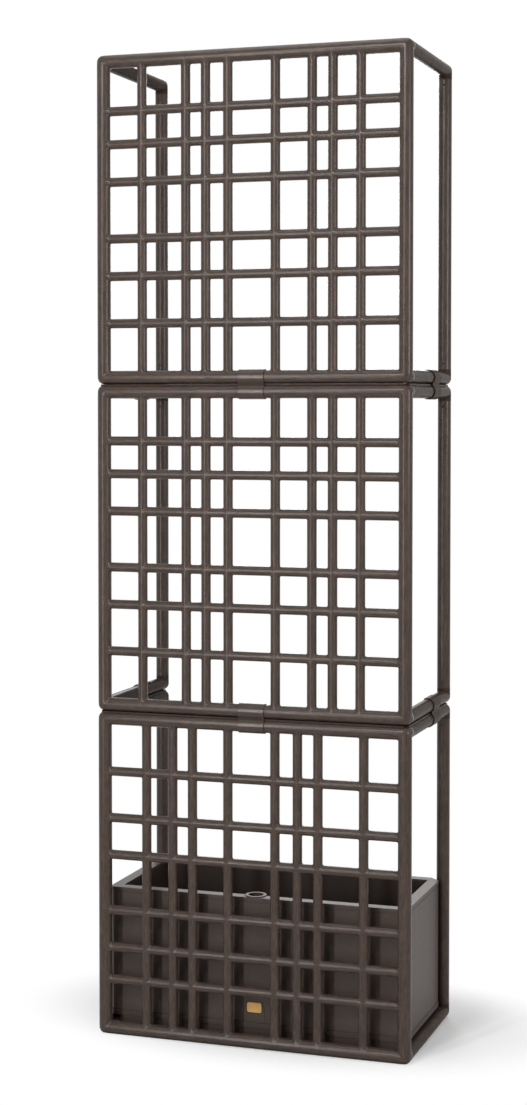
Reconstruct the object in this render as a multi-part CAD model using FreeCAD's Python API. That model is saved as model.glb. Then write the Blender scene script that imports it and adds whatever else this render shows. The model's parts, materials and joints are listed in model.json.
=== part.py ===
import FreeCAD, Part
import math
import os

# Three stacked lattice modules and a self watering planter box in the lowest one.
# The origin lies on the floor, below the middle of the whole object.
# X runs to the right, Y to the back and Z up. All sizes are millimetres.

# Frame tubes
tube_radius = 18.0
tube_wall = 3.2
axis_width = 834.0
axis_depth = 426.0
module_height = 877.0
module_gap = 2.0
module_names = ("low", "mid", "top")

# Lattice bars, with the gaps between their axes as shares of the frame
upright_bar_radius = 12.7
cross_bar_radius = 12.5
upright_gap_shares = (110, 124, 56, 62, 131, 100, 56, 75, 120)
cross_gap_shares = (144, 126, 100, 151, 100, 88, 132)

# Side arms and elbows
stub_length = 24.0
arm_seam_depth = 217.0
arm_flat_offset = 13.0
arm_front_spigot = 20.0
arm_rear_spigot = 30.0
post_spigot = 40.0
spigot_clearance = 0.2
seam_width = 1.2
seam_depth = 0.9
elbow_seam_depth = 315.0
fixing_hole_radius = 2.5
fixing_hole_depth = 3.0
front_fixing_depth = 97.0
rear_fixing_depth = 330.0

# Post screws
screw_height = 58.0
screw_hole_radius = 3.0
screw_head_radius = 2.8
screw_head_height = 1.8
screw_shank_radius = 1.6
screw_length = 12.0
screw_drive_radius = 1.3
screw_drive_depth = 1.0

# Ribs that fill the groove between stacked modules
stacking_rib_width = 20.0
stacking_rib_clearance = 0.2

# Snap clips
clip_wall = 2.8
clip_length = 72.0
clip_mouth_offset = 9.0
clip_bridge_inset = 7.0
front_clip_x = 3.0
side_clip_depth = 235.0

# Planter outline and heights
planter_shift = -5.0
planter_setback = 46.0
planter_rear_gap = 8.0
front_corner_chamfer = 8.0
rear_corner_chamfer = 27.0
rim_height = 390.0
casing_wall = 3.5
casing_bottom = 54.0
panel_gap = 0.4

# Base of the planter
base_bottom = 20.0
band_bottom = 39.0
band_reach = 1.2
deck_thickness = 4.0
base_wall = 3.0
arm_clearance = 5.0
pan_inset = 1.5
locating_rib_height = 8.0
locating_rib_wall = 2.5
foot_radius = 18.0
foot_pad_radius = 21.0
foot_pad_height = 6.0
foot_inset_x = 55.0
foot_inset_y = 55.0
foot_columns = 3
saddle_length = 60.0
saddle_inset = 75.0
saddle_bottom = 22.0
saddle_reach = 11.0

# Rim and liner
flange_width = 29.0
flange_thickness = 5.5
flange_overhang = 1.5
flange_lip_drop = 2.2
flange_lip_wall = 1.2
liner_wall = 3.0
groove_below_rim = 13.0
groove_height = 1.2
groove_depth = 0.9

# Soil grate and wick baskets
grate_height = 117.0
grate_thickness = 4.0
grate_clearance = 1.0
grate_hole_radius = 4.0
grate_hole_columns = 13
grate_hole_rows = 5
grate_hole_pitch = 42.0
basket_side = 60.0
basket_wall = 2.5
basket_gap = 3.0
basket_spread = 190.0
basket_slot_width = 5.0
basket_slot_count = 4

# Reservoir tray
tray_gap = 5.0
tray_wall = 3.0
tray_top = 110.0

# Filling tube and level float
fill_x = -12.0
fill_setback = 27.0
fill_ring_radius = 28.5
fill_ring_height = 2.5
fill_tube_radius = 23.0
fill_tube_wall = 2.5
fill_clearance = 0.4
collar_clearance = 0.2
fill_tube_gap = 3.0
guide_height = 4.0
upper_guide_drop = 36.0
lower_guide_rise = 2.0
guide_hole_radius = 6.0
guide_hole_count = 4
rod_radius = 2.0
rod_clearance = 0.06
float_radius = 13.0
float_height = 24.0
float_gap = 1.0
float_edge_chamfer = 2.0
marker_radius = 10.0
marker_height = 8.0
marker_drop = 7.0
marker_bevel = 1.5

# Drain tab, spout and plug
tab_x = -9.0
tab_width = 60.0
tab_arch_height = 88.0
plug_x = -7.0
plug_z = 95.0
plug_width = 41.0
plug_height = 27.0
plug_corner_radius = 5.0
plug_thickness = 5.0
plug_edge_chamfer = 0.8
plug_dish_margin = 6.0
plug_dish_depth = 0.8
pocket_margin = 1.2
pocket_depth = 1.8
spout_wall = 2.6
stem_radius = 8.0
stem_length = 10.0
stem_clearance = 0.06
seal_radius = 1.5
seal_setback = 5.0
seal_play = 0.3

# Places worked out from the sizes above
half_width = axis_width / 2
front_reach = tube_radius + clip_wall
front_y = (front_reach - tube_radius - axis_depth) / 2
rear_y = front_y + axis_depth
low_axis = tube_radius
high_axis = module_height - tube_radius
module_pitch = module_height + module_gap
stub_end = front_y + stub_length
seam_y = front_y + arm_seam_depth
bore_radius = tube_radius - tube_wall
arm_bore_radius = arm_flat_offset - tube_wall
pan_half = half_width - tube_radius - arm_clearance
planter_left = planter_shift - half_width
planter_right = planter_shift + half_width
planter_front = front_y + planter_setback
planter_back = rear_y - planter_rear_gap
planter_middle = (planter_front + planter_back) / 2
wall_inset = flange_width - liner_wall
grate_top = grate_height + grate_thickness
flange_bottom = rim_height - flange_thickness
tray_front = planter_front + casing_wall + tray_gap
deck_top = casing_bottom - panel_gap
tray_floor_top = deck_top + tray_wall
basket_bottom = tray_floor_top + basket_gap
float_bottom = tray_floor_top + float_gap
float_top = float_bottom + float_height
marker_top = rim_height - marker_drop
seal_middle = planter_front + pocket_depth + seal_setback
fill_y = planter_front + fill_setback
fill_tube_bottom = tray_top + fill_tube_gap
stacking_rib_half = stacking_rib_width / 2
stacking_rib_top = module_height + module_gap - stacking_rib_clearance
overrun = tube_radius


def point(x, y, z):
    return FreeCAD.Vector(x, y, z)


along_x = point(1, 0, 0)
along_y = point(0, 1, 0)
along_z = point(0, 0, 1)


def rod_x(start, end, y, z, radius):
    return Part.makeCylinder(radius, end - start, point(start, y, z), along_x)


def rod_y(x, start, end, z, radius):
    return Part.makeCylinder(radius, end - start, point(x, start, z), along_y)


def rod_z(x, y, start, end, radius):
    return Part.makeCylinder(radius, end - start, point(x, y, start), along_z)


def box(low, high):
    size = [high[axis] - low[axis] for axis in range(3)]
    return Part.makeBox(size[0], size[1], size[2], point(*low))


def fuse(shapes):
    return shapes[0].multiFuse(shapes[1:]).removeSplitter()


def mirror_x(shape):
    return shape.mirror(point(0, 0, 0), along_x)


def flip_in_plane(shape):
    """Half a turn of a module's piece about the Y line through the module's middle."""
    turned = shape.copy()
    turned.rotate(point(0, 0, module_height / 2), along_y, 180)
    return turned


def flip_up(shape):
    return shape.mirror(point(0, 0, module_height / 2), along_z)


def lifted(shape, level):
    raised = shape.copy()
    raised.translate(point(0, 0, level * module_pitch))
    return raised


def save(name, shape):
    shape.exportStep("parts/" + name + ".step")


def places(shares, start, span):
    """Positions of the bars between two frame axes, from the shares of their gaps."""
    total = sum(shares)
    reached = 0
    result = []
    for share in shares[:-1]:
        reached += share
        result.append(start + span * reached / total)
    return result


# Lattice panel

def frame_loop(radius):
    """Four tubes, ball corners and the stubs that carry the side arms."""
    shapes = []
    for x in (-half_width, half_width):
        shapes.append(rod_z(x, front_y, low_axis, high_axis, radius))
        for z in (low_axis, high_axis):
            shapes.append(Part.makeSphere(radius, point(x, front_y, z)))
            shapes.append(rod_y(x, front_y, stub_end, z, radius))
    for z in (low_axis, high_axis):
        shapes.append(rod_x(-half_width, half_width, front_y, z, radius))
    return shapes


def lattice_bars():
    uprights = places(upright_gap_shares, -half_width, axis_width)
    levels = places(cross_gap_shares, low_axis, high_axis - low_axis)
    bars = [rod_z(x, front_y, low_axis, high_axis, upright_bar_radius) for x in uprights]
    bars += [rod_x(-half_width, half_width, front_y, z, cross_bar_radius) for z in levels]
    return bars


def lattice_panel():
    solid = fuse(frame_loop(tube_radius) + lattice_bars())
    return solid.cut(fuse(frame_loop(bore_radius)))


def side_rib(start, end):
    """A rib on the upper right side arm, between two places along Y."""
    return box(
        (half_width - stacking_rib_half, start, high_axis + arm_bore_radius),
        (half_width + stacking_rib_half, end, stacking_rib_top),
    )


def stacking_rib():
    """A rib on the top tube and the stubs that fills the groove under the next module."""
    rib = box(
        (-half_width, front_y - stacking_rib_half, high_axis),
        (half_width, front_y + stacking_rib_half, stacking_rib_top),
    )
    right = side_rib(front_y, stub_end)
    return fuse([rib, right, mirror_x(right)]).cut(fuse(frame_loop(bore_radius)))


# Side arms and elbows, drawn for the lower right corner

def seam_ring(y, z):
    outer = rod_y(half_width, y, y + seam_width, z, tube_radius + overrun)
    return outer.cut(rod_y(half_width, y, y + seam_width, z, tube_radius - seam_depth))


def inner_fixing_hole(y, face_offset):
    """A small blind hole that faces the middle of the object."""
    start = half_width - face_offset - overrun
    return rod_x(start, half_width - face_offset + fixing_hole_depth, y, low_axis, fixing_hole_radius)


def front_arm():
    shell = rod_y(half_width, stub_end, seam_y, low_axis, tube_radius)
    flat = box(
        (half_width - tube_radius - overrun, stub_end, low_axis - tube_radius - overrun),
        (half_width - arm_flat_offset, seam_y, low_axis + tube_radius + overrun),
    )
    spigot = rod_y(
        half_width, stub_end - arm_front_spigot, stub_end, low_axis, bore_radius - spigot_clearance
    )
    bore = rod_y(half_width, stub_end - arm_front_spigot, seam_y, low_axis, arm_bore_radius)
    hole = inner_fixing_hole(front_y + front_fixing_depth, arm_flat_offset)
    return shell.cut(flat).fuse(spigot).cut(bore).cut(hole)


def elbow():
    leg_top = low_axis + stub_length
    arm_spigot_start = seam_y - arm_rear_spigot
    solid = fuse([
        rod_y(half_width, seam_y, rear_y, low_axis, tube_radius),
        Part.makeSphere(tube_radius, point(half_width, rear_y, low_axis)),
        rod_z(half_width, rear_y, low_axis, leg_top, tube_radius),
    ])
    spigots = [
        rod_y(half_width, arm_spigot_start, seam_y, low_axis, arm_bore_radius - spigot_clearance),
        rod_z(half_width, rear_y, leg_top, leg_top + post_spigot, bore_radius - spigot_clearance),
    ]
    cuts = [
        seam_ring(seam_y, low_axis),
        seam_ring(front_y + elbow_seam_depth, low_axis),
        inner_fixing_hole(front_y + rear_fixing_depth, tube_radius),
        screw_pilot(),
    ]
    return solid.multiFuse(spigots).cut(Part.makeCompound(cuts))


# Rear posts and their screws, drawn for the right side and the lower end

def rear_post():
    low_end = low_axis + stub_length
    high_end = high_axis - stub_length
    tube = rod_z(half_width, rear_y, low_end, high_end, tube_radius)
    bore = rod_z(half_width, rear_y, low_end, high_end, bore_radius)
    holes = [
        rod_y(half_width, rear_y - tube_radius - overrun, rear_y, z, screw_hole_radius)
        for z in (screw_height, module_height - screw_height)
    ]
    return tube.cut(bore).cut(Part.makeCompound(holes))


def screw_start():
    return rear_y - bore_radius + spigot_clearance - screw_head_height


def screw_pilot():
    return rod_y(half_width, screw_start(), screw_start() + screw_length, screw_height, screw_shank_radius)


def screw():
    start = screw_start()
    head = rod_y(half_width, start, start + screw_head_height, screw_height, screw_head_radius)
    drive = rod_y(half_width, start, start + screw_drive_depth, screw_height, screw_drive_radius)
    return head.fuse(screw_pilot()).cut(drive)


def module_screws():
    right_pair = [screw(), flip_up(screw())]
    return Part.makeCompound(right_pair + [mirror_x(one) for one in right_pair])


def save_module(level, name):
    carries_module = level + 1 < len(module_names)
    panel = flip_in_plane(lattice_panel()) if level == 0 else lattice_panel()
    if carries_module:
        panel = fuse([panel, stacking_rib()])
    save("lattice_panel_" + name, lifted(panel, level))
    for part_name, shape, rib_start, rib_end in (
        ("front_arm", front_arm(), stub_end, seam_y), ("elbow", elbow(), seam_y, rear_y)
    ):
        upper = flip_up(shape)
        if carries_module:
            upper = fuse([upper, side_rib(rib_start, rib_end)])
        for height_name, placed in (("lower", shape), ("upper", upper)):
            node = "{}_{}_{}_".format(part_name, name, height_name)
            save(node + "right", lifted(placed, level))
            save(node + "left", lifted(mirror_x(placed), level))
    save("rear_post_" + name + "_right", lifted(rear_post(), level))
    save("rear_post_" + name + "_left", lifted(mirror_x(rear_post()), level))
    save("post_screws_" + name, lifted(module_screws(), level))


# Snap clips

def clip_along_x(length):
    """Two open rings around tubes that run along X, joined in front of the rib between them."""
    outer_radius = tube_radius + clip_wall
    axis_offset = tube_radius + module_gap / 2
    half = length / 2
    lobes = [rod_x(-half, half, 0, z, outer_radius) for z in (-axis_offset, axis_offset)]
    bridge = box(
        (-half, clip_bridge_inset - outer_radius, -axis_offset),
        (half, clip_mouth_offset, axis_offset),
    )
    rib_room = box(
        (-half - overrun, -stacking_rib_half - stacking_rib_clearance, -axis_offset),
        (half + overrun, outer_radius, axis_offset),
    )
    tubes = [rod_x(-half - overrun, half + overrun, 0, z, tube_radius) for z in (-axis_offset, axis_offset)]
    mouth = box(
        (-half - overrun, clip_mouth_offset, -axis_offset - outer_radius - overrun),
        (half + overrun, outer_radius + overrun, axis_offset + outer_radius + overrun),
    )
    return lobes[0].multiFuse([lobes[1], bridge]).cut(fuse(tubes + [mouth, rib_room]))


def save_clips(level, name):
    """Clips on the meeting line above the module of this level."""
    meeting = level * module_pitch + module_height + module_gap / 2
    front = clip_along_x(clip_length)
    front.translate(point(front_clip_x, front_y, meeting))
    save("front_clip_" + name, front)
    side = clip_along_x(clip_length)
    side.rotate(point(0, 0, 0), along_z, 90)
    side.translate(point(half_width, front_y + side_clip_depth + clip_length / 2, meeting))
    save("side_clip_" + name + "_right", side)
    save("side_clip_" + name + "_left", mirror_x(side))


# Planter box

def planter_prism(inset, bottom, top):
    """Upright prism with the planter's chamfered outline, moved inwards by an inset."""
    left, right = planter_left + inset, planter_right - inset
    front, back = planter_front + inset, planter_back - inset
    shrink = inset * (2 - math.sqrt(2))
    near = front_corner_chamfer - shrink
    far = rear_corner_chamfer - shrink
    outline = [
        (left + near, front), (right - near, front), (right, front + near), (right, back - far),
        (right - far, back), (left + far, back), (left, back - far), (left, front + near),
    ]
    corners = [point(x, y, bottom) for x, y in outline]
    wire = Part.makePolygon(corners + corners[:1])
    return Part.Face(wire).extrude(point(0, 0, top - bottom))


def tab_outline(grow, bottom, start, end):
    """Arched tab prism along Y, grown at its sides and its arch."""
    half = tab_width / 2 + grow
    foot = box((tab_x - half, start, bottom), (tab_x + half, end, tab_arch_height))
    return foot.fuse(rod_y(tab_x, start, end, tab_arch_height, half)).removeSplitter()


def planter_casing():
    shell = planter_prism(0, casing_bottom, flange_bottom)
    hollow = planter_prism(casing_wall, casing_bottom - overrun, flange_bottom + overrun)
    groove_top = rim_height - groove_below_rim
    groove = planter_prism(-overrun, groove_top - groove_height, groove_top).cut(
        planter_prism(groove_depth, groove_top - groove_height, groove_top)
    )
    opening = tab_outline(
        panel_gap, casing_bottom - overrun, planter_front - overrun, planter_front + casing_wall + overrun
    )
    return shell.cut(hollow).cut(groove).cut(opening)


def planter_base():
    deck = planter_prism(-band_reach, band_bottom, deck_top)
    front = planter_front + pan_inset
    back = planter_back - pan_inset
    pan = box((-pan_half, front, base_bottom), (pan_half, back, band_bottom))
    rib_bottom = casing_bottom - deck_thickness
    hollow = box(
        (base_wall - pan_half, front + base_wall, base_bottom - overrun),
        (pan_half - base_wall, back - base_wall, rib_bottom),
    )
    rib_inset = casing_wall + panel_gap
    rib_top = casing_bottom + locating_rib_height
    rib = planter_prism(rib_inset, rib_bottom, rib_top).cut(
        planter_prism(rib_inset + locating_rib_wall, rib_bottom, rib_top)
    )
    tab_room = tab_outline(panel_gap, deck_top, front, tray_front)
    return deck.fuse(pan).cut(hollow).fuse(rib.cut(tab_room))


def planter_feet():
    leg_top = casing_bottom - deck_thickness
    across = pan_half - foot_inset_x
    columns = [across * (2 * index / (foot_columns - 1) - 1) for index in range(foot_columns)]
    feet = []
    for x in columns:
        for y in (planter_front + foot_inset_y, planter_back - foot_inset_y):
            pad = rod_z(x, y, 0, foot_pad_height, foot_pad_radius)
            feet.append(pad.fuse(rod_z(x, y, 0, leg_top, foot_radius)).removeSplitter())
    return Part.makeCompound(feet)


def arm_saddles():
    """Blocks between the base and the lower side arms, hollowed to the round of the arms."""
    blocks = []
    for start in (planter_front + saddle_inset, planter_back - saddle_inset - saddle_length):
        block = box(
            (pan_half, start, saddle_bottom), (pan_half + saddle_reach, start + saddle_length, band_bottom)
        )
        round_arm = rod_y(half_width, start - overrun, start + saddle_length + overrun, low_axis, tube_radius)
        blocks.append(block.cut(round_arm))
    return Part.makeCompound(blocks + [mirror_x(block) for block in blocks])


# Rim, liner, grate and baskets

def blocks_round_bed(outer_inset, inner_inset, notch_half, bottom, top):
    """Five upright blocks round the soil bed, with a gap in front for the filling tube."""
    left, right = planter_left + outer_inset, planter_right - outer_inset
    front, back = planter_front + outer_inset, planter_back - outer_inset
    bed_left, bed_right = planter_left + inner_inset, planter_right - inner_inset
    bed_front, bed_back = planter_front + inner_inset, planter_back - inner_inset
    return [
        box((left, front, bottom), (fill_x - notch_half, bed_front, top)),
        box((fill_x + notch_half, front, bottom), (right, bed_front, top)),
        box((left, bed_back, bottom), (right, back, top)),
        box((left, bed_front, bottom), (bed_left, bed_back, top)),
        box((bed_right, bed_front, bottom), (right, bed_back, top)),
    ]


def planter_rim():
    """Rails round the soil bed. A lip under their outer edge hooks over the casing."""
    lip_bottom = flange_bottom - flange_lip_drop
    ring = planter_prism(-flange_overhang, lip_bottom, rim_height)
    ring = ring.cut(planter_prism(flange_lip_wall - flange_overhang, lip_bottom, flange_bottom))
    notch_half = fill_ring_radius + collar_clearance
    places_of_rails = blocks_round_bed(-overrun, flange_width, notch_half, lip_bottom, rim_height)
    rails = [ring.common(place).Solids[0] for place in places_of_rails]
    return Part.makeCompound(rails)


def liner():
    """Wall panels that stand on the grate and reach up to the rim."""
    notch_half = fill_tube_radius + fill_clearance
    return Part.makeCompound(blocks_round_bed(wall_inset, flange_width, notch_half, grate_top, flange_bottom))


def grate_holes():
    holes = []
    bottom, top = grate_height - overrun, grate_top + overrun
    for column in range(grate_hole_columns):
        for row in range(grate_hole_rows):
            x = planter_shift + (column - (grate_hole_columns - 1) / 2) * grate_hole_pitch
            y = planter_middle + (row - (grate_hole_rows - 1) / 2) * grate_hole_pitch
            holes.append(rod_z(x, y, bottom, top, grate_hole_radius))
    return Part.makeCompound(holes)


def basket_columns():
    return [planter_shift - basket_spread, planter_shift + basket_spread]


def soil_grate():
    """Perforated plates round the two basket wells and the filling tube."""
    left, right = planter_left + wall_inset, planter_right - wall_inset
    front, back = planter_front + wall_inset, planter_back - wall_inset
    tube_room = fill_tube_radius + fill_clearance + grate_clearance
    tube_back = fill_y + tube_room
    well_half = basket_side / 2
    well_front, well_back = planter_middle - well_half, planter_middle + well_half
    first_well, second_well = basket_columns()
    areas = [
        ((left, front), (fill_x - tube_room, tube_back)),
        ((fill_x + tube_room, front), (right, tube_back)),
        ((left, tube_back), (right, well_front)),
        ((left, well_front), (first_well - well_half, well_back)),
        ((first_well + well_half, well_front), (second_well - well_half, well_back)),
        ((second_well + well_half, well_front), (right, well_back)),
        ((left, well_back), (right, back)),
    ]
    plates = []
    for low, high in areas:
        plate = box((low[0], low[1], grate_height), (high[0], high[1], grate_top))
        plates.append(plate.cut(grate_holes()).Solids[0])
    return Part.makeCompound(plates)


def square_block(x, y, half, bottom, top):
    return box((x - half, y - half, bottom), (x + half, y + half, top))


def wick_basket(x, y):
    """A square cup that hangs by its rim in a well of the grate, with slots for the water."""
    cup_half = basket_side / 2 - grate_clearance
    rim_top = grate_top + basket_wall
    rim = square_block(x, y, basket_side / 2 + basket_wall, grate_top, rim_top)
    cup = square_block(x, y, cup_half, basket_bottom, grate_top)
    hollow = square_block(x, y, cup_half - basket_wall, basket_bottom + basket_wall, rim_top + overrun)
    slots = []
    for index in range(basket_slot_count):
        slot = box(
            (x, y - basket_slot_width / 2, basket_bottom + 2 * basket_wall),
            (x + basket_side, y + basket_slot_width / 2, grate_height - basket_wall),
        )
        slot.rotate(point(x, y, 0), along_z, 360 * index / basket_slot_count)
        slots.append(slot)
    return rim.fuse(cup).cut(hollow).cut(Part.makeCompound(slots))


def wick_baskets():
    return Part.makeCompound([wick_basket(x, planter_middle) for x in basket_columns()])


# Reservoir tray

def reservoir_tray():
    inset = casing_wall + tray_gap
    outer = planter_prism(inset, deck_top, tray_top)
    inner = planter_prism(inset + tray_wall, tray_floor_top, tray_top + overrun)
    outlet = rod_y(plug_x, tray_front - overrun, tray_front + tray_wall + overrun, plug_z, stem_bore())
    return outer.cut(inner).cut(outlet)


# Filling tube and level float

def fill_collar():
    """Insert in the gap of the rim: a plate with a round end, and a raised ring round the mouth."""
    front = planter_front - flange_overhang
    left, right = fill_x - fill_ring_radius, fill_x + fill_ring_radius
    lip_bottom = flange_bottom - flange_lip_drop
    ring_top = rim_height + fill_ring_height
    solid = fuse([
        rod_z(fill_x, fill_y, flange_bottom, ring_top, fill_ring_radius),
        box((left, front, flange_bottom), (right, fill_y, rim_height)),
        box((left, front, lip_bottom), (right, front + flange_lip_wall, flange_bottom)),
    ])
    seat = rod_z(fill_x, fill_y, flange_bottom, rim_height, fill_tube_radius + fill_clearance)
    mouth = rod_z(fill_x, fill_y, rim_height, ring_top, fill_tube_radius - fill_tube_wall)
    return solid.cut(seat).cut(mouth)


def fill_tube():
    tube = rod_z(fill_x, fill_y, fill_tube_bottom, rim_height, fill_tube_radius)
    return tube.cut(rod_z(fill_x, fill_y, fill_tube_bottom, rim_height, fill_tube_radius - fill_tube_wall))


def rod_guide(bottom):
    """A disc that centres the float's rod, with round holes that let the water pass."""
    top = bottom + guide_height
    outer_radius = fill_tube_radius - fill_tube_wall
    disc = rod_z(fill_x, fill_y, bottom, top, outer_radius)
    cuts = [rod_z(fill_x, fill_y, bottom, top, rod_radius + rod_clearance)]
    pitch_radius = (outer_radius + rod_radius) / 2
    for index in range(guide_hole_count):
        angle = 2 * math.pi * index / guide_hole_count
        x = fill_x + pitch_radius * math.cos(angle)
        y = fill_y + pitch_radius * math.sin(angle)
        cuts.append(rod_z(x, y, bottom, top, guide_hole_radius))
    return disc.cut(Part.makeCompound(cuts))


def rod_guides():
    upper = rod_guide(rim_height - upper_guide_drop - guide_height)
    lower = rod_guide(fill_tube_bottom + lower_guide_rise)
    return Part.makeCompound([upper, lower])


def round_edges(solid, height):
    return [edge for edge in solid.Edges if edge.Closed and abs(edge.Vertexes[0].Z - height) < rod_clearance]


def level_float():
    solid = rod_z(fill_x, fill_y, float_bottom, float_top, float_radius)
    rims = round_edges(solid, float_bottom) + round_edges(solid, float_top)
    return solid.makeChamfer(float_edge_chamfer, rims)


def level_rod():
    return rod_z(fill_x, fill_y, float_top, marker_top - marker_height, rod_radius)


def level_marker():
    solid = rod_z(fill_x, fill_y, marker_top - marker_height, marker_top, marker_radius)
    return solid.makeChamfer(marker_bevel, round_edges(solid, marker_top))


# Drain tab with its spout, and the plug

def stem_bore():
    return stem_radius + stem_clearance


def rounded_block(center_x, center_z, width, height, start, end, radius):
    block = box(
        (center_x - width / 2, start, center_z - height / 2),
        (center_x + width / 2, end, center_z + height / 2),
    )
    edges = [edge for edge in block.Edges if edge.Vertexes[0].Y != edge.Vertexes[1].Y]
    return block.makeFillet(radius, edges)


def drain_tab():
    plate = tab_outline(0, casing_bottom, planter_front, planter_front + casing_wall)
    pocket = rounded_block(
        plug_x, plug_z, plug_width + pocket_margin, plug_height + pocket_margin,
        planter_front - overrun, planter_front + pocket_depth, plug_corner_radius,
    )
    spout = rod_y(
        plug_x, planter_front + casing_wall, tray_front, plug_z, stem_bore() + spout_wall
    )
    bore = rod_y(plug_x, planter_front - overrun, tray_front, plug_z, stem_bore())
    return plate.fuse(spout).cut(pocket).cut(bore)


def drain_plug():
    back = planter_front + pocket_depth
    front = back - plug_thickness
    head = rounded_block(plug_x, plug_z, plug_width, plug_height, front, back, plug_corner_radius)
    rims = [edge for edge in head.Edges if all(vertex.Y == front for vertex in edge.Vertexes)]
    head = head.makeChamfer(plug_edge_chamfer, rims)
    dish = rounded_block(
        plug_x, plug_z, plug_width - plug_dish_margin, plug_height - plug_dish_margin,
        front - overrun, front + plug_dish_depth, plug_corner_radius / 2,
    )
    stem = rod_y(plug_x, back, back + stem_length, plug_z, stem_radius)
    groove_start = seal_middle - seal_radius - seal_play
    groove_end = seal_middle + seal_radius + seal_play
    groove = rod_y(plug_x, groove_start, groove_end, plug_z, stem_radius + overrun).cut(
        rod_y(plug_x, groove_start, groove_end, plug_z, stem_radius - 2 * seal_radius)
    )
    return head.cut(dish).fuse(stem).cut(groove)


def plug_seal():
    middle = point(plug_x, seal_middle, plug_z)
    return Part.makeTorus(stem_radius - seal_radius, seal_radius, middle, along_y)


def save_planter():
    save("planter_casing", planter_casing())
    save("planter_base", planter_base())
    save("planter_feet", planter_feet())
    save("arm_saddles", arm_saddles())
    save("reservoir_tray", reservoir_tray())
    save("planter_rim", planter_rim())
    save("liner", liner())
    save("soil_grate", soil_grate())
    save("wick_baskets", wick_baskets())
    save("fill_collar", fill_collar())
    save("fill_tube", fill_tube())
    save("rod_guides", rod_guides())
    save("level_float", level_float())
    save("level_rod", level_rod())
    save("level_marker", level_marker())
    save("drain_tab", drain_tab())
    save("drain_plug", drain_plug())
    save("plug_seal", plug_seal())


def main():
    os.makedirs("parts", exist_ok=True)
    for level, name in enumerate(module_names):
        save_module(level, name)
    for level, name in enumerate(module_names[:-1]):
        save_clips(level, name)
    save_planter()


main()
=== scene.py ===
import json
import math

import bmesh
import bpy
import numpy as np
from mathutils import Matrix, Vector


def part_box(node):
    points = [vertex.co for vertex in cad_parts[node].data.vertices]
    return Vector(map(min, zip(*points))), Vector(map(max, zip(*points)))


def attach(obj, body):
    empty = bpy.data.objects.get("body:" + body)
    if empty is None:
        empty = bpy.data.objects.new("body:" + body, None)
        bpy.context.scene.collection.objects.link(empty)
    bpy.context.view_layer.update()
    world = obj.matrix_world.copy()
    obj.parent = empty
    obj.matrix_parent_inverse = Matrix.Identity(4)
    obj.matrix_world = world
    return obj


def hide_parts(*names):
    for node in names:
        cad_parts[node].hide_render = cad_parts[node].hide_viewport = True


# Planter box inside three stacked lattice modules. Metres, Z up, the lattice faces -Y.

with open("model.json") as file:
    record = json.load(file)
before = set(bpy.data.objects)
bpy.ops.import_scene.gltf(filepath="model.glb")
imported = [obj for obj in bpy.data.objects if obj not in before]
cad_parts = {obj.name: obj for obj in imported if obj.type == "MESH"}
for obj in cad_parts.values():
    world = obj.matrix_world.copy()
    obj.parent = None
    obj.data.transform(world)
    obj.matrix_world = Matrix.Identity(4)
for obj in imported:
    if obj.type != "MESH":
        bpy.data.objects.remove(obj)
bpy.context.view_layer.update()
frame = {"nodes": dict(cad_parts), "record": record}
nodes = frame["nodes"]
slots = {row["node"]: row["material_slot"] for row in frame["record"]["subparts"]}

# Camera, from the picture's perspective

PHOTO_WIDTH = 527
PHOTO_HEIGHT = 1105
CENTRE_COLUMN = 263.1
HORIZON_ROW = 472.7
FOCAL_PIXELS = 2021.4
CAMERA_PLACE = (1.7066, -5.2308, 1.7010)
CAMERA_YAW = math.radians(18.448)
CAMERA_PITCH = math.radians(1.902)
CAMERA_REACH = 100.0
SENSOR = 36.0


def make_camera():
    """The lens and the shift give the picture's frame, whose longer side is its height."""
    data = bpy.data.cameras.new("camera")
    camera = bpy.data.objects.new("camera", data)
    bpy.context.scene.collection.objects.link(camera)
    data.sensor_width = SENSOR
    data.lens = FOCAL_PIXELS * SENSOR / PHOTO_HEIGHT
    data.shift_x = (PHOTO_WIDTH / 2 - CENTRE_COLUMN) / PHOTO_HEIGHT
    data.shift_y = (HORIZON_ROW - PHOTO_HEIGHT / 2) / PHOTO_HEIGHT
    data.clip_end = CAMERA_REACH
    look = Vector((
        -math.sin(CAMERA_YAW) * math.cos(CAMERA_PITCH),
        math.cos(CAMERA_YAW) * math.cos(CAMERA_PITCH),
        -math.sin(CAMERA_PITCH),
    ))
    camera.location = CAMERA_PLACE
    turn_towards(camera, look)
    bpy.context.scene.camera = camera


def turn_towards(thing, direction):
    """Turns a camera or a lamp so that it looks along a direction."""
    thing.rotation_mode = "QUATERNION"
    thing.rotation_quaternion = direction.to_track_quat("-Z", "Y")


# Node trees

BEVEL_SAMPLES = 4
OPENNESS_SAMPLES = 6


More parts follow.
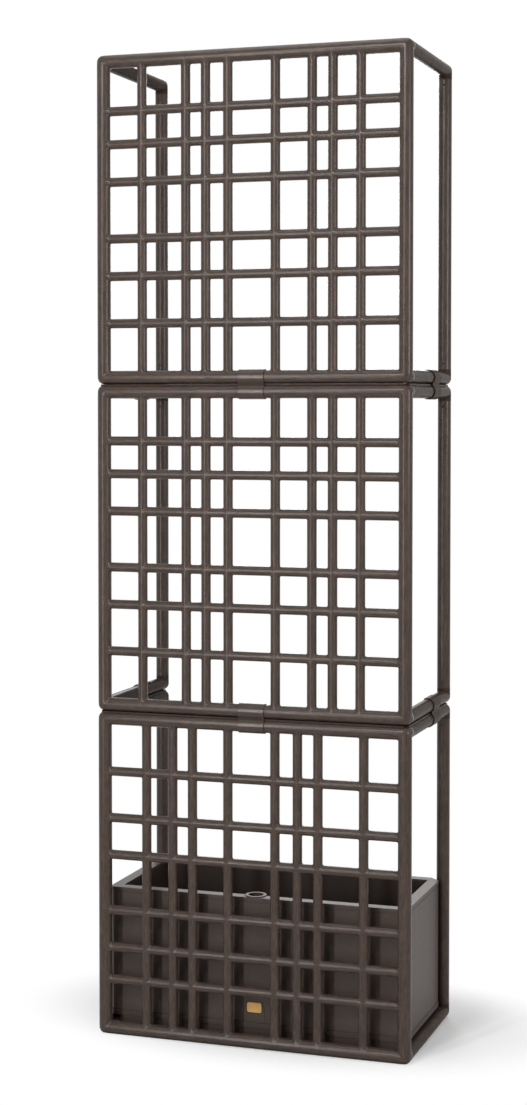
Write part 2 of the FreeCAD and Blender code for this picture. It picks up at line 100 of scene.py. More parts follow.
class Nodes:
    """A node tree with short calls for adding and linking nodes."""

    def __init__(self, tree):
        self.tree = tree

    def add(self, kind, **values):
        node = self.tree.nodes.new(kind)
        for key, value in values.items():
            setattr(node, key, value)
        return node

    def put(self, value, socket):
        """Links another node's output to a socket, or sets the socket to a number or a colour."""
        if isinstance(value, bpy.types.NodeSocket):
            self.tree.links.new(value, socket)
        elif socket.type == "RGBA":
            socket.default_value = (*value, 1.0)
        else:
            socket.default_value = value

    def combine(self, operation, first, second):
        """The result of a sum of two numbers, such as their product."""
        node = self.add("ShaderNodeMath", operation=operation)
        self.put(first, node.inputs[0])
        self.put(second, node.inputs[1])
        return node.outputs["Value"]

    def choose(self, factor, first, second):
        """The first shader where the factor is nought, the second where it is one."""
        node = self.add("ShaderNodeMixShader")
        for value, socket in zip((factor, first, second), node.inputs):
            self.put(value, socket)
        return node.outputs["Shader"]

    def clear_ray(self):
        """One for camera, glossy and transmission rays, nought for the rays that light the object."""
        path = self.add("ShaderNodeLightPath")
        found = path.outputs["Is Camera Ray"]
        for kind in ("Is Glossy Ray", "Is Transmission Ray"):
            found = self.combine("MAXIMUM", found, path.outputs[kind])
        return found


class Shader(Nodes):
    """A material's node tree, with the patterns that the materials share."""

    def __init__(self, name):
        self.material = bpy.data.materials.new(name)
        self.material.use_nodes = True
        super().__init__(self.material.node_tree)
        self.surface = self.tree.nodes["Principled BSDF"]
        self.place = self.add("ShaderNodeTexCoord").outputs["Object"]

    def moved(self, place=(0.0, 0.0, 0.0), scale=(1.0, 1.0, 1.0)):
        """The object's own coordinates, scaled and then shifted."""
        mapping = self.add("ShaderNodeMapping")
        self.put(place, mapping.inputs["Location"])
        self.put(scale, mapping.inputs["Scale"])
        self.put(self.place, mapping.inputs["Vector"])
        return mapping.outputs["Vector"]

    def noise(self, scale, detail=3.0, roughness=0.55, stretch=(1.0, 1.0, 1.0)):
        """Cloudy noise, which is drawn out along an axis whose stretch is under one."""
        node = self.add("ShaderNodeTexNoise")
        self.put(scale, node.inputs["Scale"])
        self.put(detail, node.inputs["Detail"])
        self.put(roughness, node.inputs["Roughness"])
        self.put(self.moved(scale=stretch), node.inputs["Vector"])
        return node.outputs["Fac"]

    def ramp(self, source, stops):
        """Colours between stops, each of which is a place on the source and a colour."""
        node = self.add("ShaderNodeValToRGB")
        elements = node.color_ramp.elements
        while len(elements) < len(stops):
            elements.new(0.5)
        for element, (position, colour) in zip(elements, stops):
            element.position = position
            element.color = (*colour, 1.0)
        self.put(source, node.inputs["Fac"])
        return node.outputs["Color"]

    def grey_ramp(self, source, stops):
        """Greys between stops, each of which is a place on the source and a level."""
        return self.ramp(source, [(position, (level,) * 3) for position, level in stops])

    def mix(self, factor, first, second, blend="MIX"):
        """The first colour blended with the second by a factor."""
        node = self.add("ShaderNodeMix", data_type="RGBA", blend_type=blend)
        self.put(factor, node.inputs["Factor"])
        colours = [socket for socket in node.inputs if socket.type == "RGBA"]
        self.put(first, colours[0])
        self.put(second, colours[1])
        return next(socket for socket in node.outputs if socket.type == "RGBA")

    def vary(self, tint, source, stops):
        """Multiplies a tint by grey levels: it gets darker under one and paler over it."""
        return self.mix(1.0, tint, self.grey_ramp(source, stops), "MULTIPLY")

    def range(self, source, low, high, start=0.0, end=1.0, **values):
        """Spreads the part of a source between start and end from low to high."""
        node = self.add("ShaderNodeMapRange", **values)
        self.put(start, node.inputs["From Min"])
        self.put(end, node.inputs["From Max"])
        self.put(low, node.inputs["To Min"])
        self.put(high, node.inputs["To Max"])
        self.put(source, node.inputs["Value"])
        return node.outputs["Result"]

    def bump(self, source, bump, below=None):
        """The normal of a pattern's relief, on top of another normal where one is given."""
        node = self.add("ShaderNodeBump")
        strength, height = bump
        self.put(strength, node.inputs["Strength"])
        self.put(height, node.inputs["Distance"])
        self.put(source, node.inputs["Height"])
        if below is not None:
            self.put(below, node.inputs["Normal"])
        return node.outputs["Normal"]

    def rounded_normal(self, radius):
        """The normal as if the mesh's edges were rounded."""
        node = self.add("ShaderNodeBevel", samples=BEVEL_SAMPLES)
        self.put(radius, node.inputs["Radius"])
        return node.outputs["Normal"]

    def finish(self, colour, roughness, normal, gloss):
        """Joins the patterns to the surface and returns the material."""
        self.put(colour, self.surface.inputs["Base Color"])
        self.put(roughness, self.surface.inputs["Roughness"])
        self.put(normal, self.surface.inputs["Normal"])
        self.put(gloss, self.surface.inputs["Specular IOR Level"])
        return self.material


# Materials

# A pattern's stops are places between nought and one on its noise, some with a grey level.
# A bump is its strength and its height.

NORMAL_GLOSS = 0.5

# Frame and clips
BROWN = (0.064, 0.044, 0.035)
BROWN_COOL = (0.057, 0.041, 0.033)
BROWN_WARM = (0.070, 0.047, 0.037)
BROWN_WORN = (0.105, 0.0705, 0.0555)
FRAME_GLOSS = 0.2
ARM_GLOSS = 0.018
# The arms' copy of the frame brown is painted a little darker: painted shade
ARM_SHADE = 0.95
CLIP_GLOSS = 0.22
# The side clips' brown is painted darker than the front clips': painted shade
SIDE_CLIP_SHADE = 0.8
CLIP_MOTTLE = 0.08
CLIP_GRAIN = 1100.0

# Frame plastic's pattern
FRAME_CLOUDS = 16.0
FRAME_CLOUD_STOPS = (0.3, 0.5, 0.72)
LONG_STREAKS = 115.0
LONG_STREAK_STOPS = ((0.28, 0.80), (0.5, 1.0), (0.74, 1.2))
LONG_STREAK_BUMP = (0.3, 0.0006)
FINE_STREAKS = 260.0
FINE_STREAK_STOPS = ((0.3, 0.74), (0.7, 1.3))
FINE_STREAK_BUMP = (0.2, 0.00012)
STREAK_SHRINK = 0.16
STREAK_ROUGHNESS = 0.62
FRAME_ROUGHNESS = (0.32, 0.20)
FRAME_EDGE = 0.0012
FRAME_CREVICE_REACH = 0.02
# How dark the painted shade in the frame's crevices gets
FRAME_CREVICE_SHADE = 0.2
BAR_DIRECTION = "bar_direction"
ALONG_X, ALONG_Y, ALONG_Z, ALONG_BARS = range(4)

# Moulded plastic's pattern
CLOUD_ROUGHNESS = 0.6
MOULDED_CLOUDS = 22.0
MOULDED_CLOUD_STOPS = (0.32, 0.5, 0.7)
MOULDED_STREAKS = 60.0
MOULDED_STREAK_STOPS = (0.35, 0.68)
MOULDED_STREAK_STRETCH = (1.0, 1.0, 0.45)
MOULDED_EDGE = 0.0015
MOULDED_CREVICE_REACH = 0.016
POLISH_PATCHES = 90.0
SMOOTHER = 0.06
ROUGHER = 0.08
GRAIN_BUMP = (0.2, 0.00006)
WAVES = 35.0
WAVE_BUMP = (0.1, 0.0006)

# Planter
CASING_BROWN = (0.054, 0.037, 0.029)
CASING_WARM = (0.060, 0.041, 0.031)
CASING_GLOSS = 0.28
CASING_MOTTLE = 0.05
CASING_GRAIN = 700.0
CASING_ROUGHNESS = 0.46
# The liner's brown is half the casing's: painted shade inside the planter
LINER_SHADE_TONE = 0.5
SHELL_ROUGHNESS = 0.5
DARK = (0.022, 0.019, 0.018)
MUSTARD = (0.70, 0.39, 0.11)
MUSTARD_MOTTLE = 0.05
MUSTARD_GRAIN = 900.0
FLOAT_WHITE = (0.74, 0.73, 0.70)
FLOAT_WARM = (0.78, 0.76, 0.72)
SEAL_BLACK = (0.02, 0.02, 0.02)
SEAL_PALE = (0.03, 0.03, 0.03)
FOOT_BLACK = (0.03, 0.029, 0.028)
FOOT_PALE = (0.04, 0.038, 0.036)
RUBBER_GRAIN = 500.0

# Screws
SCREW_BLACK = (0.012, 0.011, 0.011)
SCREW_PALE = (0.03, 0.028, 0.027)
SCREW_GLOSS = 0.3
SCREW_ROUGHNESS = (0.5, 0.7)
TURNING_MARKS = 700.0
MARK_STOPS = (0.3, 0.7)
MARK_BUMP = (0.2, 0.0002)

# Painted shade and dust in crevices, and worn edges
DUST_ROUGHNESS = 0.9
CREVICE_SHADE_AT = 0.25
# The openness under which crevices get painted shade, and the one over which they are clean and unshaded
DUST_DULL_AT = 0.3
CLEAN_AND_UNSHADED_AT = 0.8
WEAR_START = 0.985
WEAR_END = 0.85
WEAR_MOST = 0.5


def shade(colour, factor):
    """A colour made paler or darker by one factor."""
    return tuple(channel * factor for channel in colour)


def streaks_along(shader, axis, scale, detail):
    """Noise drawn out along one axis, or along each bar of the lattice by its stored direction."""

    def drawn_out(along):
        stretch = [1.0, 1.0, 1.0]
        stretch[along] = STREAK_SHRINK
        return shader.noise(scale, detail, STREAK_ROUGHNESS, stretch)

    if axis != ALONG_BARS:
        return drawn_out(axis)
    direction = shader.add("ShaderNodeAttribute", attribute_name=BAR_DIRECTION)
    mixed = shader.add("ShaderNodeMix", data_type="FLOAT")
    numbers = [socket for socket in mixed.inputs if socket.type == "VALUE"]
    values = (direction.outputs["Fac"], drawn_out(ALONG_Z), drawn_out(ALONG_X))
    for value, socket in zip(values, numbers):
        shader.put(value, socket)
    return mixed.outputs[0]


def edge_wear(shader, rounded):
    """How far the rounded normal turns from the true one: nought on flats, more at edges."""
    geometry = shader.add("ShaderNodeNewGeometry")
    turn = shader.add("ShaderNodeVectorMath", operation="DOT_PRODUCT")
    shader.put(rounded, turn.inputs[0])
    shader.put(geometry.outputs["Normal"], turn.inputs[1])
    return shader.range(turn.outputs["Value"], 0.0, WEAR_MOST, WEAR_START, WEAR_END)


def with_crevice_shade_and_dust(shader, tint, rough, reach, depth):
    """Painted shade: the tint gets darker where surfaces lie close together, and dust makes the plastic
    duller there.
    """
    openness = shader.add("ShaderNodeAmbientOcclusion", samples=OPENNESS_SAMPLES)
    shader.put(reach, openness.inputs["Distance"])
    dull = shader.grey_ramp(openness.outputs["AO"], [(DUST_DULL_AT, DUST_ROUGHNESS), (CLEAN_AND_UNSHADED_AT, 0.0)])
    tint = shader.vary(tint, openness.outputs["AO"], [(CREVICE_SHADE_AT, depth), (CLEAN_AND_UNSHADED_AT, 1.0)])
    return tint, shader.combine("MAXIMUM", rough, dull)


def grained_plastic(name, axis, gloss, tone=1.0):
    """Frame plastic: brown with drawn out lighter and darker streaks, as in coloured wood plastic."""
    shader = Shader(name)
    clouds = shader.noise(FRAME_CLOUDS, detail=3.0, roughness=CLOUD_ROUGHNESS)
    browns = [shade(colour, tone) for colour in (BROWN_COOL, BROWN, BROWN_WARM)]
    tint = shader.ramp(clouds, list(zip(FRAME_CLOUD_STOPS, browns)))
    long_streaks = streaks_along(shader, axis, LONG_STREAKS, detail=4.0)
    tint = shader.vary(tint, long_streaks, LONG_STREAK_STOPS)
    fine_streaks = streaks_along(shader, axis, FINE_STREAKS, detail=3.0)
    tint = shader.vary(tint, fine_streaks, FINE_STREAK_STOPS)
    rounded = shader.rounded_normal(FRAME_EDGE)
    tint = shader.mix(edge_wear(shader, rounded), tint, BROWN_WORN)
    rough = shader.range(long_streaks, *FRAME_ROUGHNESS)
    # Painted shade darkens the tint in crevices, and dust there makes them duller
    tint, rough = with_crevice_shade_and_dust(shader, tint, rough, FRAME_CREVICE_REACH, FRAME_CREVICE_SHADE)
    normal = shader.bump(long_streaks, LONG_STREAK_BUMP, rounded)
    normal = shader.bump(fine_streaks, FINE_STREAK_BUMP, normal)
    return shader.finish(tint, rough, normal, gloss)


def moulded_plastic(
    name, colour, warm, mottle, grain, roughness, wear=0.35, crevice_shade=0.5, gloss=NORMAL_GLOSS,
):
    """Moulded plastic: cloudy tint, fine grain, and paler on exposed edges."""
    shader = Shader(name)
    clouds = shader.noise(MOULDED_CLOUDS, detail=4.0, roughness=CLOUD_ROUGHNESS)
    tints = (shade(colour, 1 - mottle), colour, warm)
    tint = shader.ramp(clouds, list(zip(MOULDED_CLOUD_STOPS, tints)))
    streaks = shader.noise(MOULDED_STREAKS, 3.0, CLOUD_ROUGHNESS, MOULDED_STREAK_STRETCH)
    tint = shader.vary(tint, streaks, list(zip(MOULDED_STREAK_STOPS, (1 - mottle, 1 + mottle))))
    rounded = shader.rounded_normal(MOULDED_EDGE)
    tint = shader.mix(edge_wear(shader, rounded), tint, shade(warm, 1 + wear))
    polish = shader.noise(POLISH_PATCHES, detail=2.0)
    rough = shader.range(polish, roughness - SMOOTHER, roughness + ROUGHER)
    # Painted shade darkens the tint in crevices, and dust there makes them duller
    tint, rough = with_crevice_shade_and_dust(shader, tint, rough, MOULDED_CREVICE_REACH, crevice_shade)
    normal = shader.bump(shader.noise(grain, detail=2.0, roughness=0.5), GRAIN_BUMP, rounded)
    normal = shader.bump(shader.noise(WAVES, detail=2.0), WAVE_BUMP, normal)
    return shader.finish(tint, rough, normal, gloss)


def casing_plastic(name, tone=1.0, roughness=CASING_ROUGHNESS):
    """The planter's brown plastic, darker or paler by its tone."""
    return moulded_plastic(
        name, shade(CASING_BROWN, tone), shade(CASING_WARM, tone),
        CASING_MOTTLE, CASING_GRAIN, roughness, gloss=CASING_GLOSS,
    )


def mustard_plastic(name, warmth, roughness):
    """The yellow of the drain plug and the level marker."""
    return moulded_plastic(
        name, MUSTARD, shade(MUSTARD, warmth), MUSTARD_MOTTLE, MUSTARD_GRAIN, roughness,
    )


def hole_shade_metal(name):
    """Screws painted near black with fine turning marks, deep in their holes: painted shade that stands
    in for the dark of the holes.
    """
    shader = Shader(name)
    marks = shader.noise(TURNING_MARKS, detail=2.0)
    tint = shader.ramp(marks, list(zip(MARK_STOPS, (SCREW_BLACK, SCREW_PALE))))
    rough = shader.range(marks, *SCREW_ROUGHNESS)
    return shader.finish(tint, rough, shader.bump(marks, MARK_BUMP), SCREW_GLOSS)


def make_materials():
    """One material for each of the record's slots, and more for the pieces that dress_frame names."""
    return {
        "frame": grained_plastic("frame_plastic", ALONG_BARS, FRAME_GLOSS),
        # Arms and ribs: a slightly darker copy of the frame brown, as painted shade
        "frame_arm": grained_plastic("frame_arm_plastic", ALONG_Y, ARM_GLOSS, ARM_SHADE),
        "frame_post": grained_plastic("frame_post_plastic", ALONG_Z, FRAME_GLOSS),
        "clip": moulded_plastic(
            "clip_plastic", BROWN, BROWN_WARM, CLIP_MOTTLE, CLIP_GRAIN,
            roughness=0.2, wear=0.5, crevice_shade=0.05, gloss=CLIP_GLOSS,
        ),
        # Side clips: a darker copy of the clip brown, as painted shade
        "clip_side": moulded_plastic(
            "side_clip_plastic", shade(BROWN, SIDE_CLIP_SHADE), shade(BROWN_WARM, SIDE_CLIP_SHADE),
            CLIP_MOTTLE, CLIP_GRAIN, roughness=0.34, crevice_shade=0.25, gloss=ARM_GLOSS,
        ),
        "casing": casing_plastic("casing_plastic"),
        "liner": casing_plastic("liner_plastic"),
        # Liner: a darker copy of the casing plastic, as painted shade
        "liner_shell": casing_plastic("liner_shell_plastic", LINER_SHADE_TONE, SHELL_ROUGHNESS),
        "reservoir": moulded_plastic(
            "reservoir_plastic", DARK, shade(DARK, 1.2), mottle=0.1, grain=800.0, roughness=0.5,
        ),
        "grate": moulded_plastic(
            "grate_plastic", DARK, shade(DARK, 1.3), mottle=0.12, grain=600.0, roughness=0.6,
        ),
        "float": moulded_plastic(
            "float_plastic", FLOAT_WHITE, FLOAT_WARM, mottle=0.03, grain=900.0, roughness=0.35, wear=0.0,
        ),
        "marker": mustard_plastic("marker_plastic", warmth=1.1, roughness=0.4),
        "drain_plug": mustard_plastic("plug_plastic", warmth=1.12, roughness=0.38),
        "seal": moulded_plastic(
            "seal_rubber", SEAL_BLACK, SEAL_PALE, mottle=0.1, grain=RUBBER_GRAIN, roughness=0.6,
        ),
        "foot": moulded_plastic(
            "foot_rubber", FOOT_BLACK, FOOT_PALE, mottle=0.15, grain=RUBBER_GRAIN, roughness=0.7,
        ),
        "screw": hole_shade_metal("screw_metal"),
    }


def dress_frame(materials):
    """Gives each node its slot's material, with the grain along the posts and along the arms."""
    for name, node in nodes.items():
        look = slots[name]
        # Arms take the slightly darker copy of the frame plastic: painted shade
        if look == "frame":
            look = "frame_post" if name.startswith("rear_post") else "frame_arm"
        # Side clips take the darker copy of the clip plastic: painted shade
        if name.startswith("side_clip"):
            look = "clip_side"
        # The liner takes the darker copy of the casing plastic: painted shade
        if name == "liner":
            look = "liner_shell"
        node.data.materials.clear()
        node.data.materials.append(materials[look])


# Lattice meshes with blended crossings, in the same sizes as the solids

TUBE_RADIUS = 0.018
MODULE_HEIGHT = 0.877
MODULE_GAP = 0.002
RIB_HALF = 0.010
RIB_CLEARANCE = 0.0002
RIB_EDGE = 0.0006
UPRIGHT_RADIUS = 0.0127
CROSS_RADIUS = 0.0125
STUB_LENGTH = 0.024
UPRIGHT_GAP_SHARES = (110, 124, 56, 62, 131, 100, 56, 75, 120)
CROSS_GAP_SHARES = (144, 126, 100, 151, 100, 88, 132)
FILLET = 0.0042
FILLET_REACH = 0.0045

# Meshing of the crossings
RING_SIDES = 24
STUB_RINGS = 3
ARM_SHARES = (0.3, 0.62, 1.0)
PROJECTION_STEPS = 5
GRADIENT_STEP = 1e-5
LEAST_SLOPE = 0.2
KEY_DIGITS = 6
NEAR_ZERO = 1e-9
TINY = 1e-12
LEFT, RIGHT, DOWN, UP = (-1, 0), (1, 0), (0, -1), (0, 1)
ARMS = (LEFT, RIGHT, DOWN, UP)
LEVEL_BAR = 1.0
CORNER = 0.5


def places(shares, start, span):
    """Positions of the bars between two frame axes, from the shares of their gaps."""
    reached = np.cumsum(shares)[:-1]
    return list(start + span * reached / sum(shares))


def beyond(value, low, high):
    """How far a value lies past a range, nought inside it."""
    return value - np.clip(value, low, high)


class Crossing:
    """Two tubes that meet in the lattice's plane, with a fillet between them."""

    def __init__(self, centre, across_radius, upright_radius, arms):
        self.centre = np.array(centre)
        self.across_radius = across_radius
        self.upright_radius = upright_radius
        self.arms = arms

    def value(self, points):
        """Distance from points to the blended surface."""
        x, y, z = (points - self.centre).T
        left, right, down, up = (float(side in self.arms) for side in ARMS)
        side = beyond(x, -left, right)
        rise = beyond(z, -down, up)
        across = np.sqrt(side ** 2 + y ** 2 + z ** 2) + TINY
        upright = np.sqrt(x ** 2 + y ** 2 + rise ** 2) + TINY
        agree = (side * x + y * y + z * rise) / (across * upright)
        first, second = across - self.across_radius, upright - self.upright_radius
        soft = FILLET * np.clip(1 - np.abs(agree), 0, 1) + NEAR_ZERO
        near = np.clip(soft - np.abs(first - second), 0, None) / soft
        return np.minimum(first, second) - near ** 2 * soft / 4

    def project(self, points):
        """Moves points onto the blended surface, along its slope."""
        for _ in range(PROJECTION_STEPS):
            here = self.value(points)
            slope = np.stack([
                (self.value(points + step) - self.value(points - step)) / (2 * GRADIENT_STEP)
                for step in np.eye(3) * GRADIENT_STEP
            ], axis=1)
            size = np.maximum((slope ** 2).sum(axis=1), LEAST_SLOPE)
            points = points - slope * (here / size)[:, None]
        return points

    def rim(self, arm, cosine, sine):
        """Points round one arm's start, each with a key that the arm beside it has too."""
        middle = (self.across_radius + self.upright_radius) / 2
        found = []
        for forward, sideways in zip(cosine, sine):
            side_x, side_z = self.rim_side(arm, 1 if sideways >= 0 else -1)
            size = abs(sideways)
            if size < NEAR_ZERO:
                side_x = side_z = 0
            offset = (
                side_x * self.upright_radius * size,
                -middle * forward,
                side_z * self.across_radius * size,
            )
            found.append(((side_x, side_z, round(forward, KEY_DIGITS)), self.centre + offset))
        return found

    def rim_side(self, arm, turned):
        """The corner between two arms, or the flat or far side where one of them is missing."""
        dx, dz = arm
        beside = (0, turned) if dx else (turned, 0)
        if beside in self.arms:
            lean = 1
        elif (-dx, -dz) in self.arms:
            lean = 0
        else:
            lean = -1
        return (dx * lean, turned) if dx else (turned, dz * lean)

    def ring(self, arm, cosine, sine):
        """The round section at the end of one arm, past the fillet."""
        dx, dz = arm
        radius, other = self.across_radius, self.upright_radius
        if dz:
            radius, other = other, radius
        reach = np.full(RING_SIDES, (dx + dz) * (other + FILLET_REACH))
        sideways = radius * sine
        x, z = (reach, sideways) if dx else (sideways, reach)
        return np.stack([x, -radius * cosine, z], axis=1) + self.centre


class Lattice:
    """Builds one panel's surface: a patch at each crossing and plain spans between the patches."""

    def __init__(self, uprights, levels, depth):
        self.uprights = uprights
        self.levels = levels
        self.depth = depth
        self.points = []
        self.faces = []
        self.directions = []
        self.count = 0
        angles = np.arange(RING_SIDES) * 2 * math.pi / RING_SIDES
        self.cosine, self.sine = np.cos(angles), np.sin(angles)

    def store(self, points, direction):
        """Keeps points with their bar's direction: nought on uprights, one on cross bars."""
        start = self.count
        self.points.append(points)
        self.directions.append(np.full(len(points), direction))
        self.count += len(points)
        return list(range(start, self.count))

    def stitch(self, first, second, turn):
        """Quads between two rings. The sign of the turn says which way they face."""
        for index in range(RING_SIDES):
            after = (index + 1) % RING_SIDES
            face = (first[index], second[index], second[after], first[after])
            self.faces.append(face if turn > 0 else face[::-1])

    def crossing(self, column, row):
        """The two bars of one crossing, and which of its four arms it has."""
        last_column, last_row = len(self.uprights) - 1, len(self.levels) - 1
        present = (column > 0, column < last_column, row > 0, row < last_row)
        return Crossing(
            (self.uprights[column], self.depth, self.levels[row]),
            TUBE_RADIUS if row in (0, last_row) else CROSS_RADIUS,
            TUBE_RADIUS if column in (0, last_column) else UPRIGHT_RADIUS,
            [arm for arm, here in zip(ARMS, present) if here],
        )

    def junction(self, column, row):
        """Patch at one crossing. Returns the end ring of each arm, by its direction (dx, dz)."""
        crossing = self.crossing(column, row)
        rims = {arm: crossing.rim(arm, self.cosine, self.sine) for arm in crossing.arms}
        shared = {}
        for rim in rims.values():
            for key, place in rim:
                shared.setdefault(key, place)
        indices = self.store(crossing.project(np.array(list(shared.values()))), CORNER)
        lookup = dict(zip(shared, indices))
        ends = {}
        for (dx, dz), rim in rims.items():
            start = np.array([place for _, place in rim])
            end = crossing.ring((dx, dz), self.cosine, self.sine)
            before = [lookup[key] for key, _ in rim]
            for share in ARM_SHARES:
                current = start + (end - start) * share
                placed = crossing.project(current) if share < 1 else end
                indices = self.store(placed, abs(dx))
                self.stitch(before, indices, dx - dz)
                before = indices
            ends[(dx, dz)] = before
        return ends

    def build(self):
        """All points, faces and bar directions of the panel."""
        ends = {}
        for column in range(len(self.uprights)):
            for row in range(len(self.levels)):
                ends[(column, row)] = self.junction(column, row)
        for (column, row), arms in ends.items():
            if RIGHT in arms:
                self.stitch(arms[RIGHT], ends[(column + 1, row)][LEFT], 1)
            if UP in arms:
                self.stitch(arms[UP], ends[(column, row + 1)][DOWN], -1)
        self.add_stubs()
        return np.concatenate(self.points), self.faces, np.concatenate(self.directions)

    def add_rib(self):
        """The rib on the top tube and the stubs that fills the groove under the next module."""
        crest = self.levels[-1] + TUBE_RADIUS + MODULE_GAP - RIB_CLEARANCE
        foot = self.levels[-1]
        profile = [
            (-RIB_HALF, foot), (-RIB_HALF, crest - RIB_EDGE), (RIB_EDGE - RIB_HALF, crest),
            (RIB_HALF - RIB_EDGE, crest), (RIB_HALF, crest - RIB_EDGE), (RIB_HALF, foot),
        ]
        sides = (self.uprights[0], self.uprights[-1])
        self.add_bar([[(x, self.depth + y, z) for y, z in profile] for x in sides])
        for x in sides:
            self.add_bar([
                [(x - y, place, z) for y, z in profile]
                for place in (self.depth, self.depth + STUB_LENGTH)
            ])

    def add_bar(self, outlines):
        """A closed bar between two outlines of the same number of points."""
        ends = [self.store(np.array(outline), LEVEL_BAR) for outline in outlines]
        for index in range(len(ends[0])):
            after = (index + 1) % len(ends[0])
            self.faces.append((ends[0][index], ends[0][after], ends[1][after], ends[1][index]))
        self.faces.append(tuple(reversed(ends[0])))
        self.faces.append(tuple(ends[1]))

    def add_stubs(self):
        """Short tubes at the four corners that carry the side arms."""
        for x in (self.uprights[0], self.uprights[-1]):
            for z in (self.levels[0], self.levels[-1]):
                self.add_stub(x, z)

    def add_stub(self, x, z):
        """One closed stub on the plane of the panel."""
        rings = []
        for y in np.linspace(self.depth, self.depth + STUB_LENGTH, STUB_RINGS):
            ring = np.stack([
                x + TUBE_RADIUS * self.cosine, np.full(RING_SIDES, y), z + TUBE_RADIUS * self.sine,
            ], axis=1)
            rings.append(self.store(ring, CORNER))
        for first, second in zip(rings, rings[1:]):
            self.stitch(first, second, 1)
        self.faces.append(tuple(rings[0]))
        self.faces.append(tuple(reversed(rings[-1])))


def add_object(name, mesh, material):
    """A smooth shaded piece of one material."""
    mesh.shade_smooth()
    mesh.materials.append(material)
    piece = bpy.data.objects.new(name, mesh)
    bpy.context.scene.collection.objects.link(piece)
    return piece


def mesh_object(name, points, faces, material):
    """A piece from its points and faces."""
    mesh = bpy.data.meshes.new(name)
    mesh.from_pydata([tuple(point) for point in points], [], faces)
    mesh.validate()
    return add_object(name, mesh, material)


def build_panel(level, material, rib_material):
    """One lattice panel in its solid's place. The low one is the same moulding turned half a turn."""
    node = "lattice_panel_" + level
    low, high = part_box(node)
    left, right = low.x + TUBE_RADIUS, high.x - TUBE_RADIUS
    bottom, top = low.z + TUBE_RADIUS, low.z + MODULE_HEIGHT - TUBE_RADIUS
    across_shares, up_shares = UPRIGHT_GAP_SHARES, CROSS_GAP_SHARES
    if level == "low":
        across_shares, up_shares = across_shares[::-1], up_shares[::-1]
    uprights = [left] + places(across_shares, left, right - left) + [right]
    levels = [bottom] + places(up_shares, bottom, top - bottom) + [top]
    lattice = Lattice(uprights, levels, low.y + TUBE_RADIUS)
    if level != "top":
        lattice.add_rib()
    rib_faces = len(lattice.faces)
    points, faces, directions = lattice.build()
    piece = mesh_object("lattice_" + level, points, faces, material)
    piece.data.materials.append(rib_material)
    for face in piece.data.polygons[:rib_faces]:
        face.use_smooth = False
        face.material_index = 1
    attribute = piece.data.attributes.new(BAR_DIRECTION, "FLOAT", "POINT")
    attribute.data.foreach_set("value", directions)
    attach(piece, "root")
    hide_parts(node)


# Moulded parts with rounded edges

# The start of the nodes' names, their body and the width of their rounded edges
SOFT_EDGES = (
    ("front_clip", "root", 0.0007),
    ("side_clip", "root", 0.0007),
    ("drain_tab", "root", 0.0008),
    ("drain_plug", "plug", 0.0010),
)
EDGE_SEGMENTS = 2
EDGE_ANGLE = math.radians(35.0)
WELD_DISTANCE = 1e-6
VALLEY_FACING = -0.995


def round_edges(name, body, width):
    """Stands in for a moulded node with the same shape whose sharp edges are rounded off."""
    source = nodes[name]
    mesh = bpy.data.meshes.new(name + "_soft")
    shape = bmesh.new()
    shape.from_mesh(source.data)
    bmesh.ops.remove_doubles(shape, verts=shape.verts, dist=WELD_DISTANCE)
    shape.to_mesh(mesh)
    shape.free()
    piece = add_object(name + "_soft", mesh, source.data.materials[0])
    bevel = piece.modifiers.new("round", "BEVEL")
    bevel.width = width
    bevel.segments = EDGE_SEGMENTS
    bevel.limit_method = "ANGLE"
    bevel.angle_limit = EDGE_ANGLE
    piece.modifiers.new("even", "WEIGHTED_NORMAL").keep_sharp = True
    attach(piece, body)
    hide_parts(name)
    return piece


def shade_and_dull_valley(piece, name, material):
    """The narrow face between a front clip's two rounds takes the side clips' darker, duller plastic:
    painted shade in the crease, and dull with dust.
    """
    low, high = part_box(name)
    middle = (low.z + high.z) / 2
    piece.data.materials.append(material)
    for face in piece.data.polygons:
        if face.normal.y < VALLEY_FACING and abs(face.center.z - middle) < RIB_HALF:
            face.material_index = 1


def round_moulded_parts(dull):
    """Rounds every node that SOFT_EDGES names, with a darker, duller valley in the front clips: painted
    shade and dust.
    """
    for start, body, width in SOFT_EDGES:
        for name in sorted(nodes):
            if name.startswith(start):
                piece = round_edges(name, body, width)
                if start == "front_clip":
                    shade_and_dull_valley(piece, name, dull)


# Floor, backdrop and light

FLOOR_SIZE = 60.0
FLOOR_COLOUR = (0.80, 0.80, 0.80)
FLOOR_SPECKLE = 3.0
FLOOR_SPECKLE_TONE = 0.995
FLOOR_ROUGHNESS = (0.85, 0.9)
FLOOR_BUMP = (0.02, 0.001)
FLOOR_LIFT = 0.25
CLEAR_PLACE = (-0.03, -0.10, 0.0)
CLEAR_SCALE = (0.58, 1.0, 1.0)
CLEAR_FROM = 0.26
CLEAR_TO = 0.50
WHITE = (1.0, 1.0, 1.0)
AMBIENT = 0.03

# Name, place, target, size and power of each area light
LIGHTS = (
    ("key", (-0.3, -3.7, 3.4), (0.0, 0.0, 1.1), (0.7, 0.7), 62),
    ("strip", (-1.45, -4.5, 1.7), (0.0, 0.0, 1.6), (0.35, 3.2), 92),
    ("right", (4.4, -1.6, 2.2), (0.3, 0.0, 1.1), (1.6, 1.6), 80),
    ("top", (0.0, -0.3, 5.6), (0.0, 0.0, 1.0), (3.2, 3.2), 75),
    ("back", (-1.2, 4.4, 3.0), (0.0, 0.0, 1.1), (1.6, 1.6), 60),
)


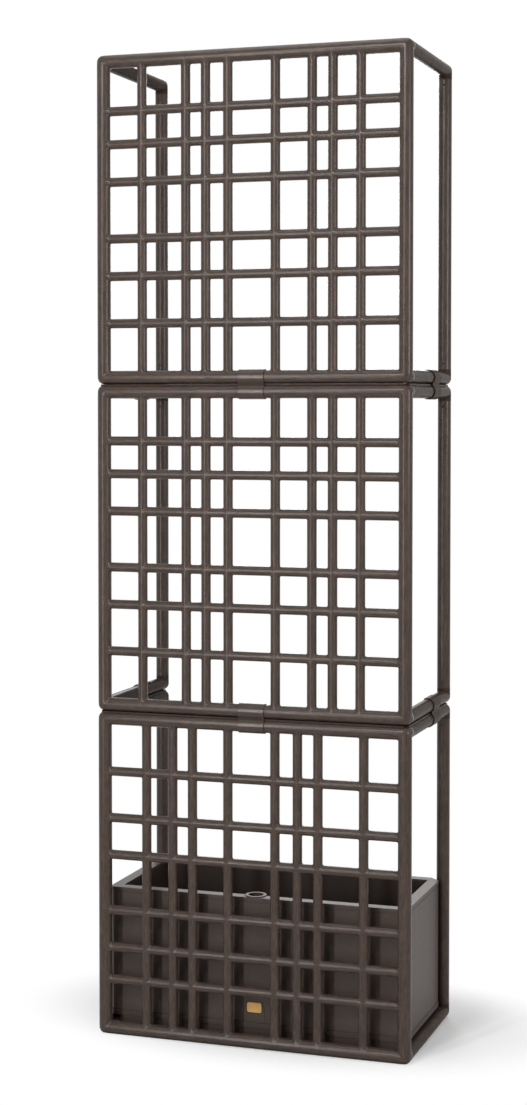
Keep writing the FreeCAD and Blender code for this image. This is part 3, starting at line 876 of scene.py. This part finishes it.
def floor_material():
    """Pale paint that the camera sees lifted to white away from the object's shadow."""
    shader = Shader("floor_paint")
    speckle = shader.noise(FLOOR_SPECKLE, detail=2.0)
    tint = shader.ramp(speckle, [(0.0, shade(FLOOR_COLOUR, FLOOR_SPECKLE_TONE)), (1.0, FLOOR_COLOUR)])
    rough = shader.range(speckle, *FLOOR_ROUGHNESS)
    material = shader.finish(tint, rough, shader.bump(speckle, FLOOR_BUMP), gloss=0.0)
    clear = shader.clear_ray()
    lift = shader.add("ShaderNodeEmission")
    shader.put(shader.combine("MULTIPLY", clear, FLOOR_LIFT), lift.inputs["Strength"])
    lit = shader.add("ShaderNodeAddShader")
    shader.put(shader.surface.outputs["BSDF"], lit.inputs[0])
    shader.put(lift.outputs["Emission"], lit.inputs[1])
    distance = shader.add("ShaderNodeVectorMath", operation="LENGTH")
    shader.put(shader.moved(CLEAR_PLACE, CLEAR_SCALE), distance.inputs[0])
    far = shader.range(
        distance.outputs["Value"], 0.0, 1.0, CLEAR_FROM, CLEAR_TO, interpolation_type="SMOOTHSTEP",
    )
    white = shader.add("ShaderNodeEmission").outputs["Emission"]
    seen = shader.choose(shader.combine("MULTIPLY", far, clear), lit.outputs["Shader"], white)
    shader.put(seen, shader.tree.nodes["Material Output"].inputs["Surface"])
    return material


def make_floor():
    """One large square on the ground, which isn't part of the object."""
    half = FLOOR_SIZE / 2
    corners = [(-half, -half, 0), (half, -half, 0), (half, half, 0), (-half, half, 0)]
    floor = mesh_object("floor", corners, [(0, 1, 2, 3)], floor_material())


def make_world():
    """White for the camera and in reflections, and a faint even light on the object."""
    world = bpy.data.worlds.new("studio")
    bpy.context.scene.world = world
    world.use_nodes = True
    sky = Nodes(world.node_tree)

    def background(node, strength):
        sky.put(WHITE, node.inputs["Color"])
        sky.put(strength, node.inputs["Strength"])
        return node.outputs["Background"]

    seen = background(world.node_tree.nodes["Background"], 1.0)
    faint = background(sky.add("ShaderNodeBackground"), AMBIENT)
    surface = sky.choose(sky.clear_ray(), faint, seen)
    sky.put(surface, world.node_tree.nodes["World Output"].inputs["Surface"])


def area_light(name, place, target, size, power):
    """A rectangular lamp that looks from its place at its target."""
    data = bpy.data.lights.new(name, "AREA")
    data.shape = "RECTANGLE"
    data.size, data.size_y = size
    data.energy = power
    lamp = bpy.data.objects.new(name, data)
    lamp.location = place
    turn_towards(lamp, Vector(target) - Vector(place))
    bpy.context.scene.collection.objects.link(lamp)


make_camera()
materials = make_materials()
dress_frame(materials)
for level in ("low", "mid", "top"):
    build_panel(level, materials["frame"], materials["frame_arm"])
round_moulded_parts(materials["clip_side"])
make_floor()
make_world()
for light in LIGHTS:
    area_light(*light)
bpy.context.scene.view_settings.view_transform = "Standard"
